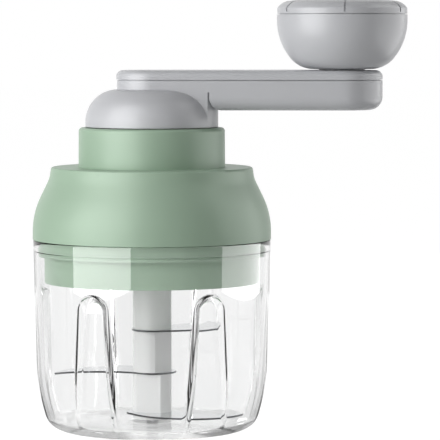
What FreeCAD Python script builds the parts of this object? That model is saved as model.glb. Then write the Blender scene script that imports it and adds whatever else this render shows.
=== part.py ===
import FreeCAD, Part
import math
import os
import re
import Sketcher

# Hand cranked food chopper: a clear cup with a blade stack, and a lid whose crank turns the blades
# five times as fast through a planetary gear. Millimetres. The origin is the middle of the cup's
# base, +Z is up, and the crank arm points along +X.

SIZES = {
    # cup
    "cup_rim_r": 40.4,
    "cup_rim_z": 64.8,
    "belly_in": 0.7,
    "belly_z": 26.0,
    "foot_in": 11.2,
    "cup_corner_r": 8.0,
    "cup_wall": 2.4,
    "cup_floor": 3.0,
    "cup_inner_corner_r": 3.0,
    "cup_inner_foot_out": 2.0,
    "cup_rim_wall": 1.5,
    "ledge_depth": 5.3,
    "flute_count": 6,
    "flute_half_w": 5.1,
    "flute_flare": 2.2,
    "flute_drop": 19.5,
    "flute_depth": 2.8,
    "flute_taper": 25.0,
    "flute_root": 3.6,
    "flute_curl_z": 20.0,
    "flute_curl_r": 54.0,
    "flute_grow": 0.5,
    "past": 1.0,
    "pin_r": 2.0,
    "pin_seat_z": 1.2,
    "pin_height": 15.8,
    "pin_boss_r": 3.25,
    "pin_boss_h": 0.5,
    "pin_chamfer": 0.8,
    # lid
    "lid_gap": 0.1,
    "lid_lip": 0.1,
    "lid_height": 24.4,
    "lid_wall": 2.3,
    "lid_band_h": 2.3,
    "shoulder_in": 2.7,
    "shoulder_drop": 10.1,
    "shoulder_bow": 27.0,
    "slope_in": 4.6,
    "slope_drop": 6.2,
    "brow_in": 6.1,
    "brow_drop": 1.5,
    "brow_sag_r": 12.0,
    "brow_r": 0.8,
    "brow_lean": 0.1,
    "bearing_wall": 2.2,
    "collar_r": 24.8,
    "collar_foot_r": 24.9,
    "collar_h": 13.4,
    "collar_wall": 2.2,
    "collar_plate": 3.1,
    "collar_edge_r": 1.2,
    "bush_wall": 1.43,
    "bush_flange_w": 4.0,
    "bush_flange_h": 1.5,
    # plug under the lid
    "skirt_in": 1.4,
    "skirt_wall": 2.0,
    "skirt_depth": 14.5,
    "skirt_lip": 1.1,
    "plate_h": 2.2,
    "flange_gap": 0.3,
    "flange_h": 3.0,
    "flange_step": 1.2,
    "plug_wall": 2.1,
    "plug_h": 2.1,
    "seal_lip_h": 0.6,
    "seal_waist": 0.5,
    "post_count": 3,
    "post_r": 2.5,
    "post_gap": 0.15,
    "screw_r": 1.25,
    "screw_head_r": 2.4,
    "screw_head_h": 0.9,
    "screw_len": 9.5,
    "screw_chamfer": 0.6,
    # planetary gear
    "sun_teeth": 12,
    "planet_teeth": 18,
    "planet_count": 3,
    "gear_addendum": 0.9,
    "ring_addendum": 0.8,
    "gear_dedendum": 1.15,
    "gear_backlash": 0.14,
    "gear_face": 9.6,
    "gear_lift": 0.5,
    "ring_wall": 2.35,
    "ring_seat_h": 2.8,
    "ring_seat_w": 1.6,
    "case_wall": 1.9,
    "case_lip": 0.3,
    "planet_pin_r": 2.5,
    "planet_pin_head_r": 3.6,
    "planet_pin_head_h": 1.2,
    "carrier_gap": 0.6,
    "carrier_h": 3.0,
    "carrier_rim": 6.5,
    "carrier_neck_r": 10.0,
    "carrier_neck_h": 4.15,
    "carrier_flange_w": 1.5,
    "carrier_flange_h": 3.0,
    "washer_h": 0.8,
    "journal_r": 4.5,
    "spindle_bush_r": 6.45,
    "spindle_flange_r": 8.5,
    "spindle_flange_h": 1.2,
    "spindle_boss_r": 9.5,
    "spindle_boss_up": 1.3,
    "spindle_boss_down": 0.5,
    "drive_hex": 7.0,
    "drive_len": 11.0,
    "drive_play": 0.3,
    # crank
    "hub_gap": 0.3,
    "hub_r": 22.55,
    "hub_h": 12.6,
    "hub_dome_r": 11.0,
    "spigot_r": 14.5,
    "spigot_short": 1.65,
    "spigot_bore_r": 8.4,
    "spigot_bore_end": 3.5,
    "spigot_hex": 17.0,
    "hex_len": 8.0,
    "crank_boss_r": 4.4,
    "crank_screw_r": 2.0,
    "crank_screw_head_r": 3.9,
    "crank_screw_head_h": 2.9,
    "crank_screw_well": 1.5,
    "crank_screw_grip": 9.5,
    "arm_reach": 64.5,
    "arm_hub_r": 12.06,
    "arm_knob_r": 13.75,
    "arm_root_x": 19.5,
    "arm_root_in": 0.25,
    "arm_neck": 3.2,
    "arm_depth": 10.15,
    "arm_wall": 2.2,
    "arm_fillet": 4.5,
    "cover_h": 3.3,
    "cover_fillet": 2.2,
    "cover_groove_h": 0.35,
    "cover_groove_d": 0.8,
    "cover_rim_h": 1.5,
    # knob
    "post_pin_r": 3.0,
    "post_foot_r": 6.0,
    "post_foot_h": 1.6,
    "post_socket_wall": 1.6,
    "post_short": 2.6,
    "post_screw_r": 1.25,
    "post_screw_len": 7.0,
    "post_screw_head_h": 1.8,
    "knob_r": 22.1,
    "knob_foot_r": 9.8,
    "knob_corner_r": 10.0,
    "knob_belly_h": 16.55,
    "knob_body_h": 18.45,
    "knob_lift": 0.4,
    "knob_neck_r": 7.8,
    "knob_play": 0.15,
    "knob_wall": 2.2,
    "knob_floor": 3.0,
    "knob_inner_bow": 16.0,
    "knob_sleeve_short": 3.4,
    "knob_bush_r": 5.0,
    "knob_bush_flange_h": 0.6,
    "cap_gap": 0.25,
    "cap_play": 0.1,
    "cap_skirt_h": 1.9,
    "cap_edge_r": 5.75,
    "cap_edge_in": 3.6,
    "cap_edge_rise": 2.4,
    "cap_crown": 0.95,
    "cap_plate": 2.2,
    "cap_rim_w": 0.8,
    "cap_plug_h": 2.5,
    "cap_plug_wall": 2.0,
    "cap_grooves": 6,
    "cap_groove_w": 0.7,
    "cap_groove_d": 0.4,
    "cap_groove_start": 8.0,
    "cap_groove_foot": 0.6,
    # blades
    "shaft_r": 6.6,
    "shaft_head_h": 16.45,
    "shaft_top_play": 0.5,
    "stem_r": 4.2,
    "stem_flat": 3.4,
    "foot_gap": 0.1,
    "foot_h": 1.75,
    "foot_floor": 0.4,
    "blade_h": 0.6,
    "spacer_h": 13.1,
    "spacer_flat": 5.2,
    "blade_gap": 1.9,
    "blade_low_gap": 3.8,
    "blade_hub_r": 8.4,
    # fits
    "run_gap": 0.05,
    "fit_gap": 0.02,
    "loose_gap": 0.2,
}

doc = FreeCAD.newDocument("crank_food_chopper")
sheet = doc.addObject("Spreadsheet::Sheet", "sizes")
for row, (alias, number) in enumerate(SIZES.items(), start=1):
    sheet.set(f"A{row}", alias)
    sheet.set(f"B{row}", str(number))
    sheet.setAlias(f"B{row}", alias)
doc.recompute()


def val(text):
    return float(sheet.evalExpression(str(text)))


def tie(obj, path, text):
    # binds one property or constraint to the sheet
    def name(match):
        word = match.group()
        return "sizes." + word if word in SIZES else word

    obj.setExpression(path, re.sub(r"[A-Za-z_]\w*", name, str(text)))


# Heights, each worked out from what carries it.
LEDGE_Z = "(cup_rim_z - ledge_depth)"
LID_Z = "(cup_rim_z + lid_gap)"
LID_TOP = f"({LID_Z} + lid_height)"
CEILING_Z = f"({LID_TOP} - lid_wall)"
COLLAR_TOP = f"({LID_TOP} + collar_h)"
TUBE_TOP = f"({COLLAR_TOP} - collar_plate)"
BUSH_SEAT = f"({COLLAR_TOP} - bush_flange_h + fit_gap)"
SKIRT_Z = f"({LID_Z} - skirt_depth)"
PLATE_Z = f"({SKIRT_Z} + skirt_lip)"
PLATE_TOP = f"({PLATE_Z} + plate_h)"
SEAL_Z = f"({LEDGE_Z} + lid_gap)"
FLANGE_Z = f"({LID_Z} - lid_gap - flange_h)"
RING_Z = f"({PLATE_TOP} + ring_seat_h)"
GEAR_Z = f"({RING_Z} + gear_lift)"
GEAR_TOP = f"({GEAR_Z} + gear_face)"
RING_TOP = f"({GEAR_TOP} + loose_gap)"
CARRIER_Z = f"({RING_TOP} + carrier_gap)"
CARRIER_TOP = f"({CARRIER_Z} + carrier_h)"
SCREW_SEAT = f"({CARRIER_Z} + crank_screw_well + crank_screw_head_h)"
SHOULDER_Z = f"({CARRIER_TOP} + carrier_neck_h + carrier_flange_h)"
TUBE_END = f"({SHOULDER_Z} + washer_h + 2 * run_gap)"
HUB_Z = f"({COLLAR_TOP} + hub_gap)"
HUB_TOP = f"({HUB_Z} + hub_h)"
SPIGOT_Z = f"({TUBE_END} + spigot_short)"
HEX_TOP = f"({SPIGOT_Z} + hex_len)"
COVER_Z = f"({HUB_TOP} + arm_neck)"
ARM_Z = f"({COVER_Z} - arm_depth)"
ARM_FLOOR = f"({ARM_Z} + arm_wall)"
COVER_TOP = f"({COVER_Z} + cover_h)"
BODY_TOP = f"({COVER_Z} - cover_groove_h / 2)"
KNOB_Z = f"({COVER_TOP} + knob_lift)"
KNOB_TOP = f"({KNOB_Z} + knob_body_h)"
CAP_Z = f"({KNOB_TOP} + cap_gap)"
FOOT_Z = "(cup_floor + pin_boss_h + foot_gap)"
BLADE_LOW_Z = f"({FOOT_Z} + foot_h)"
SPACER_LOW_Z = f"({BLADE_LOW_Z} + blade_h)"
BLADE_MID_Z = f"({SPACER_LOW_Z} + spacer_h)"
SPACER_UP_Z = f"({BLADE_MID_Z} + blade_h)"
SPINDLE_Z = f"({PLATE_Z} - spindle_boss_down)"
SHAFT_TOP = f"({SPINDLE_Z} - shaft_top_play)"
SHAFT_Z = f"({SHAFT_TOP} - shaft_head_h)"
BLADE_UP_Z = f"({SHAFT_Z} - blade_h)"
CAP_SHOULDER = f"({CAP_Z} + cap_skirt_h)"
CROWN_Z = f"({CAP_SHOULDER} + cap_edge_rise)"
POST_TOP = f"({KNOB_TOP} - post_short)"
SLEEVE_TOP = f"({KNOB_TOP} - knob_sleeve_short)"
# Radii and distances shared by pieces that fit together.
BELLY_R = "(cup_rim_r - belly_in)"
FOOT_R = "(cup_rim_r - foot_in)"
INNER_FOOT_R = f"({FOOT_R} + cup_inner_foot_out)"
CUP_BORE = "(cup_rim_r - cup_wall)"
RIM_BORE = "(cup_rim_r - cup_rim_wall)"
FLUTE_X = "(cup_rim_r - flute_depth)"
PIN_HOLE = "(pin_r + fit_gap)"
LID_R = "(cup_rim_r + lid_lip)"
LID_BORE = f"({LID_R} - lid_wall)"
BROW_R = f"({LID_R} - brow_in)"
SKIRT_R = f"({CUP_BORE} - skirt_in)"
SKIRT_BORE = f"({SKIRT_R} - skirt_wall)"
POST_CIRCLE_R = f"({SKIRT_BORE} - post_r - post_gap)"
# The gear's teeth are as large as the room inside the screw posts allows.
CASE_R = f"({POST_CIRCLE_R} - post_r)"
CASE_BORE = f"({CASE_R} - case_wall)"
RING_R = f"({CASE_BORE} - fit_gap)"
RING_TEETH = "(sun_teeth + 2 * planet_teeth)"
GEAR_MODULE = f"(({RING_R} - ring_wall) / ({RING_TEETH} / 2 + gear_dedendum))"
PITCH_R = f"({GEAR_MODULE} * (sun_teeth + planet_teeth) / 2)"
BUSH_BORE = "(spigot_r + run_gap)"
BEARING_BORE = f"({BUSH_BORE} + bush_wall + fit_gap)"
BUSH_FLANGE_R = f"({BEARING_BORE} + bush_flange_w)"
CARRIER_FLANGE_R = f"({BEARING_BORE} + carrier_flange_w)"
BUSH_HOLE = "(spindle_bush_r + fit_gap)"
DOME_R = "min(hub_dome_r; hub_h - 1)"
BLADE_REACH = f"({FLUTE_X} - cup_wall - blade_gap)"
# The lowest blade is shorter, as the flutes' floors curl inward at the foot.
BLADE_LOW_REACH = f"({FLUTE_X} - cup_wall - blade_low_gap)"
CAP_R = "(knob_r - cap_play)"
CAP_PLUG_R = "(knob_r - knob_wall - cap_play)"


# Corners of a blade's plan, as shares of its reach and of its hub's radius.
BLADE_ARM = {"tip": (1, 0), "front": (0.4, -0.5), "hollow": (0.55, -0.1)}
BLADE_ROOT = {
    "heel": (-0.55, -0.95),
    "far": (-1, 0),
    "back": (-0.55, 0.62),
    "top": (0, 0.8),
    "shoulder": (0.45, 0.62),
}
# How far each blade and spacer is turned about the shaft, in degrees.
BLADE_TURNS = {"lower": -12, "middle": 190, "upper": 57}
SPACER_TURNS = {"lower": -102, "upper": -42}


# Drawing helpers.
def new_body(label):
    return doc.addObject("PartDesign::Body", label)


def origin_item(body, role):
    return next(item for item in body.Origin.OriginFeatures if item.Role == role)


def new_sketch(body, plane="XZ_Plane", lift=None):
    sketch = body.newObject("Sketcher::SketchObject", f"{body.Label}_sketch")
    sketch.AttachmentSupport = [(origin_item(body, plane), "")]
    sketch.MapMode = "FlatFace"
    if lift is not None:
        tie(sketch, "AttachmentOffset.Base.z", lift)
    return sketch


def pin_point(sketch, geometry, end, x, y):
    # fixes a point of the sketch at (x, y), measured from the sketch's origin
    for kind, text in (("DistanceX", x), ("DistanceY", y)):
        index = sketch.addConstraint(Sketcher.Constraint(kind, -1, 1, geometry, end, val(text)))
        tie(sketch, f"Constraints[{index}]", text)


def pin_radius(sketch, geometry, text):
    index = sketch.addConstraint(Sketcher.Constraint("Radius", geometry, val(text)))
    tie(sketch, f"Constraints[{index}]", text)


def add_arc(sketch, start, middle, end):
    # adds the arc counter-clockwise; returns its index, and its ends' numbers at start and end
    turn = (middle - start).cross(end - middle).z
    first, last = (start, end) if turn > 0 else (end, start)
    circle_of = Part.Arc(first, middle, last).toShape().Curve
    centre, radius = circle_of.Center, circle_of.Radius
    low = math.atan2(first.y - centre.y, first.x - centre.x)
    high = math.atan2(last.y - centre.y, last.x - centre.x)
    if high < low:
        high += 2 * math.pi
    round_curve = Part.Circle(centre, FreeCAD.Vector(0, 0, 1), radius)
    index = sketch.addGeometry(Part.ArcOfCircle(round_curve, low, high), False)
    return (index, 1, 2) if turn > 0 else (index, 2, 1)


def add_belly(sketch, start, end, corner):
    # two tangent arcs: from the widest point down to the flat foot
    width, height = abs(start.x - end.x), abs(start.y - end.y)
    big = (width**2 + height**2 - 2 * height * corner) / (2 * (width - corner))
    side = 1 if start.x > end.x else -1
    up = 1 if start.y > end.y else -1
    big_centre = FreeCAD.Vector(start.x - side * big, start.y, 0)
    small_centre = FreeCAD.Vector(end.x, end.y + up * corner, 0)
    joint = small_centre + (small_centre - big_centre).normalize() * corner
    arcs = []
    for centre, radius, one, two in (
        (big_centre, big, start, joint),
        (small_centre, corner, joint, end),
    ):
        outward = ((one + two) / 2 - centre).normalize()
        arcs.append(add_arc(sketch, one, centre + outward * radius, two))
    return arcs


def outline(sketch, corners):
    # A closed outline. A corner is (x, y), or (x, y, radius, side) where an arc leads to the
    # next corner, or (x, y, radius, "belly") where two tangent arcs lead down to it.
    points = [FreeCAD.Vector(val(corner[0]), val(corner[1]), 0) for corner in corners]
    edges = []
    for number, corner in enumerate(corners):
        start, end = points[number], points[(number + 1) % len(points)]
        if len(corner) == 2:
            index = sketch.addGeometry(Part.LineSegment(start, end), False)
            edges.append(((index, 1), (index, 2)))
        elif corner[3] == "belly":
            (upper, u1, u2), (lower, l1, l2) = add_belly(sketch, start, end, val(corner[2]))
            foot = corners[(number + 1) % len(corners)]
            pin_point(sketch, lower, 3, foot[0], f"{foot[1]} + {corner[2]}")
            index = sketch.addConstraint(
                Sketcher.Constraint("DistanceY", -1, 1, upper, 3, val(corner[1]))
            )
            tie(sketch, f"Constraints[{index}]", corner[1])
            sketch.addConstraint(Sketcher.Constraint("Tangent", upper, u2, lower, l1))
            edges.append(((upper, u1), (lower, l2)))
        else:
            chord = end - start
            turn = 1 if corner[3] == "left" else -1
            normal = FreeCAD.Vector(-chord.y, chord.x, 0).normalize() * turn
            radius = val(corner[2])
            height = math.sqrt(max(radius**2 - (chord.Length / 2) ** 2, 0))
            middle = (start + end) / 2 + normal * (height - radius)
            index, first, last = add_arc(sketch, start, middle, end)
            pin_radius(sketch, index, corner[2])
            edges.append(((index, first), (index, last)))
    for number, corner in enumerate(corners):
        before, after = edges[number - 1][1], edges[number][0]
        sketch.addConstraint(Sketcher.Constraint("Coincident", *before, *after))
        pin_point(sketch, *after, corner[0], corner[1])
    return sketch


def circle(sketch, x, y, radius):
    centre = FreeCAD.Vector(val(x), val(y), 0)
    up = FreeCAD.Vector(0, 0, 1)
    index = sketch.addGeometry(Part.Circle(centre, up, val(radius)), False)
    pin_point(sketch, index, 3, x, y)
    pin_radius(sketch, index, radius)
    return sketch


def hexagon(sketch, across, turn=0):
    # a regular hexagon about the origin, given across its flats
    corners = []
    for number in range(6):
        angle = turn + 60 * number
        reach = f"{across} / 2 / cos(30 deg)"
        corners.append((f"{reach} * cos({angle} deg)", f"{reach} * sin({angle} deg)"))
    return outline(sketch, corners)


def slot(sketch, inset="0"):
    # the arm's plan: a round end at the hub and a wider one at the knob, joined by tangents
    reach = val("arm_reach")
    small, large = val(f"arm_hub_r - {inset}"), val(f"arm_knob_r - {inset}")
    lean = math.asin((large - small) / reach)
    ends = []
    for x, radius, facing in ((0, small, -1), (reach, large, 1)):
        centre = FreeCAD.Vector(x, 0, 0)
        top = centre + FreeCAD.Vector(-math.sin(lean), math.cos(lean), 0) * radius
        low = centre + FreeCAD.Vector(-math.sin(lean), -math.cos(lean), 0) * radius
        far = centre + FreeCAD.Vector(facing * radius, 0, 0)
        ends.append((top, low, add_arc(sketch, top, far, low)))
    (top_a, low_a, (arc_a, a_top, a_low)), (top_b, low_b, (arc_b, b_top, b_low)) = ends
    upper = sketch.addGeometry(Part.LineSegment(top_a, top_b), False)
    lower = sketch.addGeometry(Part.LineSegment(low_a, low_b), False)
    for line, a_end, b_end in ((upper, a_top, b_top), (lower, a_low, b_low)):
        sketch.addConstraint(Sketcher.Constraint("Tangent", line, 1, arc_a, a_end))
        sketch.addConstraint(Sketcher.Constraint("Tangent", line, 2, arc_b, b_end))
    pin_point(sketch, arc_a, 3, "0", "0")
    pin_point(sketch, arc_b, 3, "arm_reach", "0")
    pin_radius(sketch, arc_a, f"arm_hub_r - {inset}")
    pin_radius(sketch, arc_b, f"arm_knob_r - {inset}")
    return sketch


# Feature helpers. Each returns the feature, and each cut is checked to have cut something.
def revolve(sketch, body):
    feature = body.newObject("PartDesign::Revolution", f"{body.Label}_turned")
    feature.Profile = sketch
    feature.ReferenceAxis = (sketch, ["V_Axis"])
    feature.Angle = 360
    doc.recompute()
    return feature


def pad(sketch, body, length, down=False):
    feature = body.newObject("PartDesign::Pad", f"{body.Label}_pad")
    feature.Profile = sketch
    feature.Reversed = down
    tie(feature, "Length", length)
    doc.recompute()
    return feature


def pocket(sketch, body, length, along=False, middle=False):
    # cuts against the sketch's normal, or along it, or half to each side
    before = body.Shape.Volume
    feature = body.newObject("PartDesign::Pocket", f"{body.Label}_pocket")
    feature.Profile = sketch
    feature.Reversed = along
    feature.Midplane = middle
    tie(feature, "Length", length)
    doc.recompute()
    if body.Shape.Volume > before - 1e-6:
        raise RuntimeError(f"{feature.Label} cuts nothing")
    return feature


def polar(features, body, count):
    pattern = body.newObject("PartDesign::PolarPattern", f"{body.Label}_around")
    pattern.Originals = features
    pattern.Axis = (origin_item(body, "Z_Axis"), [""])
    pattern.Angle = 360
    tie(pattern, "Occurrences", count)
    body.Tip = pattern
    doc.recompute()
    return pattern


def fillet(body, radius, chosen):
    # rounds the edges of the body for which chosen(edge) is true
    base = body.Tip
    names = [
        f"Edge{number}"
        for number, edge in enumerate(base.Shape.Edges, start=1)
        if chosen(edge)
    ]
    feature = body.newObject("PartDesign::Fillet", f"{body.Label}_round")
    feature.Base = (base, names)
    tie(feature, "Radius", radius)
    doc.recompute()
    return feature


def level(edge, height):
    box = edge.BoundBox
    return abs(box.ZMin - height) < 1e-4 and abs(box.ZMax - height) < 1e-4


def turned(label, corners):
    body = new_body(label)
    revolve(outline(new_sketch(body), corners), body)
    return body


# Cup: a turned shell with arch-topped flutes pressed in all round, equally thick everywhere.
def flutes(label, floor_x, grow, curl_r):
    # The room outside the flutes' floors. The sides lean out, and the floor curls in at the foot.
    body = new_body(label)
    body.AllowCompound = True
    half = f"(flute_half_w + {grow} - flute_root * tan(flute_taper * 1 deg))"
    foot = f"({half} + flute_flare)"
    spring = "(cup_rim_z - flute_drop - flute_half_w)"
    top = f"({spring} + {half})"
    prism = pad(
        outline(
            new_sketch(body, "YZ_Plane", f"{floor_x} - flute_root"),
            [
                (foot, "-past"),
                (half, spring, half, "left"),
                ("0", top, half, "left"),
                (f"-{half}", spring),
                (f"-{foot}", "-past"),
            ],
        ),
        body,
        f"cup_rim_r + past - {floor_x} + flute_root",
    )
    tie(prism, "TaperAngle", "flute_taper * 1 deg")
    doc.recompute()
    low = "-(2 * past)"
    drop = f"(flute_curl_z - {low})"
    curl = f"({curl_r} - sqrt({curl_r} * {curl_r} - {drop} * {drop}))"
    inner = f"({floor_x} - 2 * flute_root)"
    floor = pocket(
        outline(
            new_sketch(body),
            [
                (inner, "cup_rim_z"),
                (floor_x, "cup_rim_z"),
                (floor_x, "flute_curl_z", curl_r, "right"),
                (f"{floor_x} - {curl}", low),
                (inner, low),
            ],
        ),
        body,
        "4 * flute_half_w",
        middle=True,
    )
    polar([prism, floor], body, "flute_count")
    return body


def cut(label, base, tool):
    result = doc.addObject("Part::Cut", label)
    result.Base = base
    result.Tool = tool
    doc.recompute()
    return result


def make_cup():
    outside = turned(
        "cup_outside",
        [
            ("0", "cup_rim_z"),
            ("cup_rim_r", "cup_rim_z"),
            (BELLY_R, "belly_z", "cup_corner_r", "belly"),
            (FOOT_R, "0"),
            ("0", "0"),
        ],
    )
    cavity = turned(
        "cup_cavity",
        [
            ("0", "cup_rim_z + past"),
            (RIM_BORE, "cup_rim_z + past"),
            (RIM_BORE, LEDGE_Z),
            (CUP_BORE, LEDGE_Z),
            (f"{BELLY_R} - cup_wall", "belly_z", "cup_inner_corner_r", "belly"),
            (INNER_FOOT_R, "cup_floor"),
            ("pin_boss_r", "cup_floor"),
            ("pin_boss_r", "cup_floor + pin_boss_h"),
            (PIN_HOLE, "cup_floor + pin_boss_h"),
            (PIN_HOLE, "pin_seat_z"),
            ("0", "pin_seat_z"),
        ],
    )
    dents = flutes("cup_dents", FLUTE_X, "0", "flute_curl_r")
    bumps = flutes(
        "cup_bumps", f"({FLUTE_X} - cup_wall)", "flute_grow", "(flute_curl_r - cup_wall)"
    )
    shell = cut("cup_shell", outside, dents)
    room = cut("cup_room", cavity, bumps)
    return cut("cup", shell, room)


def make_cup_pin():
    top = "(pin_seat_z + pin_height)"
    return turned(
        "cup_pin",
        [
            ("0", "pin_seat_z"),
            ("pin_r", "pin_seat_z"),
            ("pin_r", f"{top} - pin_chamfer"),
            ("pin_r - pin_chamfer", top),
            ("0", top),
        ],
    )


# Lid shell: an ogee shoulder with a bearing tube in its middle and three screw posts.
def make_lid_shell():
    tube_r = f"({BEARING_BORE} + bearing_wall)"
    band_top = f"({LID_Z} + lid_band_h)"
    shoulder_z = f"({LID_TOP} - shoulder_drop)"
    slope_z = f"({LID_TOP} - slope_drop)"
    brow_z = f"({LID_TOP} - brow_drop)"
    inner_bow = "(shoulder_bow - lid_wall)"
    body = turned(
        "lid_shell",
        [
            (LID_R, LID_Z),
            (LID_R, band_top, "shoulder_bow", "left"),
            (f"{LID_R} - shoulder_in", shoulder_z),
            (f"{LID_R} - slope_in", slope_z, "brow_sag_r", "right"),
            (BROW_R, brow_z),
            (f"{BROW_R} - brow_lean", f"{LID_TOP} - brow_r", "brow_r", "left"),
            (f"{BROW_R} - brow_lean - brow_r", LID_TOP),
            (tube_r, LID_TOP),
            (tube_r, TUBE_TOP),
            (BEARING_BORE, TUBE_TOP),
            (BEARING_BORE, TUBE_END),
            (tube_r, TUBE_END),
            (tube_r, CEILING_Z),
            (f"{BROW_R} - lid_wall", CEILING_Z),
            (f"{LID_R} - slope_in - lid_wall", slope_z),
            (f"{LID_R} - shoulder_in - lid_wall", shoulder_z, inner_bow, "right"),
            (LID_BORE, band_top),
            (LID_BORE, LID_Z),
        ],
    )
    post = pad(
        circle(new_sketch(body, "XY_Plane", PLATE_TOP), POST_CIRCLE_R, "0", "post_r"),
        body,
        f"{CEILING_Z} - {PLATE_TOP} + lid_wall / 2",
    )
    polar([post], body, "post_count")
    hole = pocket(
        circle(
            new_sketch(body, "XY_Plane", PLATE_TOP), POST_CIRCLE_R, "0", "screw_r + fit_gap"
        ),
        body,
        "screw_len",
        along=True,
    )
    polar([hole], body, "post_count")
    return body


def make_collar():
    return turned(
        "collar",
        [
            ("collar_foot_r", LID_TOP),
            ("collar_r", f"{COLLAR_TOP} - collar_edge_r", "collar_edge_r", "left"),
            ("collar_r - collar_edge_r", COLLAR_TOP),
            (f"{BUSH_FLANGE_R} + loose_gap", COLLAR_TOP),
            (f"{BUSH_FLANGE_R} + loose_gap", BUSH_SEAT),
            (BEARING_BORE, BUSH_SEAT),
            (BEARING_BORE, TUBE_TOP),
            ("collar_r - collar_wall", TUBE_TOP),
            ("collar_foot_r - collar_wall", LID_TOP),
        ],
    )


def make_top_bush():
    outer = f"({BEARING_BORE} - fit_gap)"
    return turned(
        "top_bush",
        [
            (BUSH_BORE, TUBE_END),
            (outer, TUBE_END),
            (outer, BUSH_SEAT),
            (BUSH_FLANGE_R, BUSH_SEAT),
            (BUSH_FLANGE_R, f"{BUSH_SEAT} + bush_flange_h"),
            (BUSH_BORE, f"{BUSH_SEAT} + bush_flange_h"),
        ],
    )


# Plug that closes the lid from below: skirt, seal flange, gear case and spindle boss in one.
def make_lid_base():
    case_top = f"({RING_TOP} + case_lip)"
    seat_r = f"({CASE_BORE} - ring_seat_w)"
    flange_r = f"({RIM_BORE} - flange_gap)"
    flange_top = f"({FLANGE_Z} + flange_h)"
    step_z = f"({flange_top} + flange_step)"
    plug_r = f"({LID_BORE} - fit_gap)"
    boss_top = f"({PLATE_TOP} + spindle_boss_up)"
    body = turned(
        "lid_base",
        [
            (SKIRT_BORE, SKIRT_Z),
            (SKIRT_R, SKIRT_Z),
            (SKIRT_R, FLANGE_Z),
            (flange_r, FLANGE_Z),
            (flange_r, flange_top),
            (plug_r, flange_top),
            (plug_r, f"{LID_Z} + plug_h"),
            (f"{plug_r} - plug_wall", f"{LID_Z} + plug_h"),
            (f"{plug_r} - plug_wall", step_z),
            (SKIRT_BORE, step_z),
            (SKIRT_BORE, PLATE_TOP),
            (CASE_R, PLATE_TOP),
            (CASE_R, case_top),
            (CASE_BORE, case_top),
            (CASE_BORE, RING_Z),
            (seat_r, RING_Z),
            (seat_r, PLATE_TOP),
            ("spindle_boss_r", PLATE_TOP),
            ("spindle_boss_r", boss_top),
            (BUSH_HOLE, boss_top),
            (BUSH_HOLE, SPINDLE_Z),
            ("spindle_boss_r", SPINDLE_Z),
            ("spindle_boss_r", PLATE_Z),
            (SKIRT_BORE, PLATE_Z),
        ],
    )
    shank_hole = ("screw_r + loose_gap / 2", "plate_h")
    head_hole = ("screw_head_r + loose_gap", "screw_head_h + loose_gap")
    for radius, depth in (shank_hole, head_hole):
        hole = pocket(
            circle(new_sketch(body, "XY_Plane", PLATE_Z), POST_CIRCLE_R, "0", radius),
            body,
            depth,
            along=True,
        )
        polar([hole], body, "post_count")
    return body


def make_seal_ring():
    # silicone ring with two lips that wipe the cup's upper bore
    inner = f"({SKIRT_R} + fit_gap)"
    outer = f"({RIM_BORE} - loose_gap)"
    low = SEAL_Z
    high = f"({FLANGE_Z} - fit_gap)"
    waist = f"({low} + {high}) / 2"
    return turned(
        "seal_ring",
        [
            (inner, low),
            (outer, low),
            (outer, f"{low} + seal_lip_h"),
            (f"{outer} - seal_waist", waist),
            (outer, f"{high} - seal_lip_h"),
            (outer, high),
            (inner, high),
        ],
    )


def make_base_screws():
    body = new_body("base_screws")
    body.AllowCompound = True
    head_top = f"({PLATE_Z} + screw_head_h + loose_gap)"
    centre = (POST_CIRCLE_R, "0")
    shank = pad(
        circle(new_sketch(body, "XY_Plane", head_top), *centre, "screw_r"),
        body,
        f"{PLATE_TOP} - {head_top} + screw_len - 1",
    )
    head = pad(
        circle(new_sketch(body, "XY_Plane", head_top), *centre, "screw_head_r"),
        body,
        "screw_head_h",
        down=True,
    )
    pattern = polar([shank], body, "post_count")
    pattern.Originals = [shank, head]
    doc.recompute()
    return body


# Gears. A tooth flank is an involute, drawn as the arc through three of its points.
def flank_points(base, start, end):
    # an involute of the given base circle at its start, middle and end, as (radius, angle)
    points = []
    for radius in (start, (start + end) / 2, end):
        press = math.acos(min(base / radius, 1))
        points.append((radius, math.tan(press) - press))
    return points


PRESSURE_ANGLE = 20


def gear_face(teeth, module, tip_r, root_r, thinning, phase):
    # A face bounded by the teeth, for a gear with outer teeth, or for the hole of an inner one.
    # phase is the angle of a tooth's middle, and thinning narrows each tooth at the pitch circle.
    pitch = module * teeth / 2
    press = math.radians(PRESSURE_ANGLE)
    base = pitch * math.cos(press)
    half = (math.pi * module / 2 - thinning) / 2 / pitch + math.tan(press) - press
    start = max(base, root_r)
    flank = flank_points(base, start, tip_r)

    def place(radius, angle):
        return FreeCAD.Vector(radius * math.cos(angle), radius * math.sin(angle), 0)

    edges = []
    inset = half - flank[0][1]
    undercut = root_r < start
    for number in range(teeth):
        middle = math.radians(phase) + 2 * math.pi * number / teeth
        following = middle + 2 * math.pi / teeth
        rising = [place(radius, middle - half + angle) for radius, angle in flank]
        falling = [place(radius, middle + half - angle) for radius, angle in reversed(flank)]
        for side in (rising, falling):
            edges.append(Part.Arc(*side).toShape())
        edges.append(Part.Arc(rising[-1], place(tip_r, middle), falling[0]).toShape())
        low, end = place(root_r, middle + inset), place(root_r, following - inset)
        if undercut:
            edges.append(Part.LineSegment(place(root_r, middle - inset), rising[0]).toShape())
            edges.append(Part.LineSegment(falling[-1], low).toShape())
        between = place(root_r, (middle + following) / 2)
        edges.append(Part.Arc(low, between, end).toShape())
    return Part.Face(Part.Wire(Part.__sortEdges__(edges)))


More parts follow.
